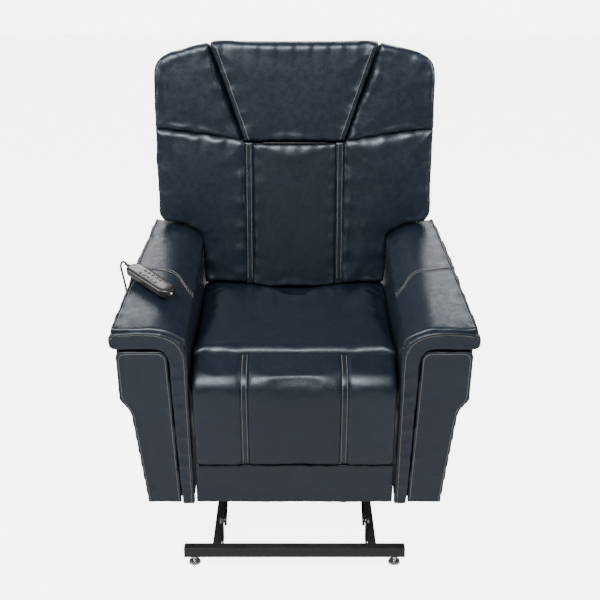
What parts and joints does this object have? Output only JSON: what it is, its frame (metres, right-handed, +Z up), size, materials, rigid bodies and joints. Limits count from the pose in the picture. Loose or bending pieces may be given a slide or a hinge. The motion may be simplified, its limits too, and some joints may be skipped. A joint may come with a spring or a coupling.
{
  "type": "lift recliner chair",
  "caption": "Navy leather lift recliner on a steel lift base, with reclining back, powered headrest, folding leg rest, side pocket and corded handset.",
  "frame": {"origin": "centre of the footprint box, on the floor under the levelling feet", "axes": "+Z up, the seat faces -Y, +X towards the arm without the handset; the rest pose is part way up the lift, tipped forward by 10.0 degrees"},
  "size_m": [0.94, 0.8097, 1.3776],
  "materials": {
    "black_steel": "satin black powder coat",
    "foot_metal": "dark polished foot",
    "zinc": "zinc plated",
    "motor_plastic": "matte black",
    "timber": "bare plywood",
    "leather": "smooth dark navy leather",
    "handset_plastic": "soft brown-black",
    "cord_rubber": "black cable sheath",
    "lamp_lens": "clear lamp lens"
  },
  "bodies": {
    "base": {"base_front_tube": "black_steel", "base_side_rails": "black_steel", "base_cross_tubes": "black_steel", "base_brackets": "black_steel", "levelling_feet": "foot_metal", "base_tube_caps": "motor_plastic", "base_pivot_bolts": "zinc"},
    "rear_arms": {"rear_lift_arms": "black_steel"},
    "front_links": {"front_lift_links": "black_steel"},
    "lift_motor_body": {"lift_motor": "motor_plastic"},
    "lift_rod_body": {"lift_rod": "zinc"},
    "chair": {"lift_frame_plates": "black_steel", "lift_frame_tubes": "black_steel", "seat_frame": "timber", "seat_springs": "zinc", "seat_cushion": "leather", "arm_frames": "timber", "arm_cover_left": "leather", "arm_cover_right": "leather", "arm_pad_left": "leather", "arm_pad_right": "leather", "arm_front_bands": "leather", "arm_front_panels": "leather", "front_kick_panel": "leather", "rear_lower_panel": "leather", "back_pivot_plates": "black_steel", "control_box": "motor_plastic", "power_supply": "motor_plastic", "side_pocket": "leather", "handset_lower_shell": "handset_plastic", "handset_upper_shell": "handset_plastic", "handset_lamp": "lamp_lens", "cord_strain_relief": "cord_rubber", "handset_cord": "cord_rubber", "cord_grommet": "motor_plastic"},
    "back": {"back_frame": "timber", "back_hinge_brackets": "black_steel", "back_cushion": "leather", "back_outer_panel": "leather"},
    "headrest": {"headrest_cushion": "leather", "headrest_hinge": "zinc"},
    "legrest": {"legrest_board": "timber", "legrest_pad": "leather"},
    "legrest_swing": {"legrest_swing_links": "black_steel"},
    "legrest_guide": {"legrest_guide_links": "black_steel"},
    "recline_motor_body": {"recline_motor": "motor_plastic"},
    "recline_rod_body": {"recline_rod": "zinc"},
    "legrest_motor_body": {"legrest_motor": "motor_plastic"},
    "legrest_rod_body": {"legrest_rod": "zinc"},
    "key_01": {"button_01": "handset_plastic"},
    "key_02": {"button_02": "handset_plastic"},
    "key_03": {"button_03": "handset_plastic"},
    "key_04": {"button_04": "handset_plastic"},
    "key_05": {"button_05": "handset_plastic"},
    "key_06": {"button_06": "handset_plastic"},
    "key_07": {"button_07": "handset_plastic"},
    "key_08": {"button_08": "handset_plastic"},
    "key_09": {"button_09": "handset_plastic"},
    "key_10": {"button_10": "handset_plastic"}
  },
  "joints": [
    {"name": "lift", "type": "hinge", "parent": "base", "child": "rear_arms", "pos_m": [0, -0.149, 0.14], "axis": [1, 0, 0], "range_deg": [-30, 42]},
    {"name": "chair_tilt", "type": "hinge", "parent": "rear_arms", "child": "chair", "pos_m": [0, 0.23549, 0.33254], "axis": [1, 0, 0], "range_deg": [-28.03, 20.03]},
    {"name": "front_link_swing", "type": "hinge", "parent": "base", "child": "front_links", "pos_m": [0, -0.237, 0.09], "axis": [1, 0, 0], "range_deg": [-33.95, 47.52]},
    {"name": "lift_motor_swing", "type": "hinge", "parent": "base", "child": "lift_motor_body", "pos_m": [0, 0.238, 0.105], "axis": [1, 0, 0], "range_deg": [-1.38, 1.93]},
    {"name": "lift_rod_travel", "type": "slide", "parent": "lift_motor_body", "child": "lift_rod_body", "axis": [0, -0.9757, 0.219], "range_m": [-0.02632, 0.03685]},
    {"name": "back_recline", "type": "hinge", "parent": "chair", "child": "back", "pos_m": [0, 0.22893, 0.6162], "axis": [-1, 0, 0], "range_deg": [0, 45]},
    {"name": "recline_motor_swing", "type": "hinge", "parent": "chair", "child": "recline_motor_body", "pos_m": [0.095, -0.1998, 0.39853], "axis": [1, 0, 0], "range_deg": [0, 2.26]},
    {"name": "recline_rod_travel", "type": "slide", "parent": "recline_motor_body", "child": "recline_rod_body", "axis": [0, 0.9544, 0.2985], "range_m": [-0.05608, 0]},
    {"name": "headrest_tilt", "type": "hinge", "parent": "back", "child": "headrest", "pos_m": [0, 0.19147, 1.07323], "axis": [1, 0, 0], "range_deg": [0, 30]},
    {"name": "legrest_fold", "type": "hinge", "parent": "chair", "child": "legrest", "pos_m": [0, -0.39207, 0.56774], "axis": [-1, 0, 0], "range_deg": [0, 90]},
    {"name": "legrest_swing_turn", "type": "hinge", "parent": "chair", "child": "legrest_swing", "pos_m": [0, -0.18785, 0.47476], "axis": [-1, 0, 0], "range_deg": [-0.02, 90.02]},
    {"name": "legrest_guide_turn", "type": "hinge", "parent": "legrest", "child": "legrest_guide", "pos_m": [0, -0.247, 0.4359], "axis": [-1, 0, 0], "range_deg": [-90.02, 0.02]},
    {"name": "legrest_motor_swing", "type": "hinge", "parent": "chair", "child": "legrest_motor_body", "pos_m": [-0.095, 0.1055, 0.4523], "axis": [1, 0, 0], "range_deg": [-1.17, 0]},
    {"name": "legrest_rod_travel", "type": "slide", "parent": "legrest_motor_body", "child": "legrest_rod_body", "axis": [0, -0.9994, -0.0335], "range_m": [0, 0.04971]},
    {"name": "button_01_press", "type": "slide", "parent": "chair", "child": "key_01", "axis": [0, 0.1735, -0.9848], "range_m": [0, 0.0012], "stiffness_N_per_m": 900, "springref_m": -0.0004},
    {"name": "button_02_press", "type": "slide", "parent": "chair", "child": "key_02", "axis": [0, 0.1735, -0.9848], "range_m": [0, 0.0012], "stiffness_N_per_m": 900, "springref_m": -0.0004},
    {"name": "button_03_press", "type": "slide", "parent": "chair", "child": "key_03", "axis": [0, 0.1735, -0.9848], "range_m": [0, 0.0012], "stiffness_N_per_m": 900, "springref_m": -0.0004},
    {"name": "button_04_press", "type": "slide", "parent": "chair", "child": "key_04", "axis": [0, 0.1735, -0.9848], "range_m": [0, 0.0012], "stiffness_N_per_m": 900, "springref_m": -0.0004},
    {"name": "button_05_press", "type": "slide", "parent": "chair", "child": "key_05", "axis": [0, 0.1735, -0.9848], "range_m": [0, 0.0012], "stiffness_N_per_m": 900, "springref_m": -0.0004},
    {"name": "button_06_press", "type": "slide", "parent": "chair", "child": "key_06", "axis": [0, 0.1735, -0.9848], "range_m": [0, 0.0012], "stiffness_N_per_m": 900, "springref_m": -0.0004},
    {"name": "button_07_press", "type": "slide", "parent": "chair", "child": "key_07", "axis": [0, 0.1735, -0.9848], "range_m": [0, 0.0012], "stiffness_N_per_m": 900, "springref_m": -0.0004},
    {"name": "button_08_press", "type": "slide", "parent": "chair", "child": "key_08", "axis": [0, 0.1735, -0.9848], "range_m": [0, 0.0012], "stiffness_N_per_m": 900, "springref_m": -0.0004},
    {"name": "button_09_press", "type": "slide", "parent": "chair", "child": "key_09", "axis": [0, 0.1735, -0.9848], "range_m": [0, 0.0012], "stiffness_N_per_m": 900, "springref_m": -0.0004},
    {"name": "button_10_press", "type": "slide", "parent": "chair", "child": "key_10", "axis": [0, 0.1735, -0.9848], "range_m": [0, 0.0012], "stiffness_N_per_m": 900, "springref_m": -0.0004}
  ],
  "couplings": [
    {"joint": "chair_tilt", "follows": "lift", "ratio": -0.667},
    {"joint": "front_link_swing", "follows": "lift", "ratio": 1.131},
    {"joint": "lift_motor_swing", "follows": "lift", "ratio": 0.0454},
    {"joint": "lift_rod_travel", "follows": "lift", "m_per_rad": 0.05025},
    {"joint": "recline_motor_swing", "follows": "back_recline", "ratio": 0.0497},
    {"joint": "recline_rod_travel", "follows": "back_recline", "m_per_rad": -0.07139},
    {"joint": "legrest_swing_turn", "follows": "legrest_fold", "ratio": 1},
    {"joint": "legrest_guide_turn", "follows": "legrest_fold", "ratio": -1},
    {"joint": "legrest_motor_swing", "follows": "legrest_fold", "ratio": -0.0128},
    {"joint": "legrest_rod_travel", "follows": "legrest_fold", "m_per_rad": 0.03164}
  ]
}
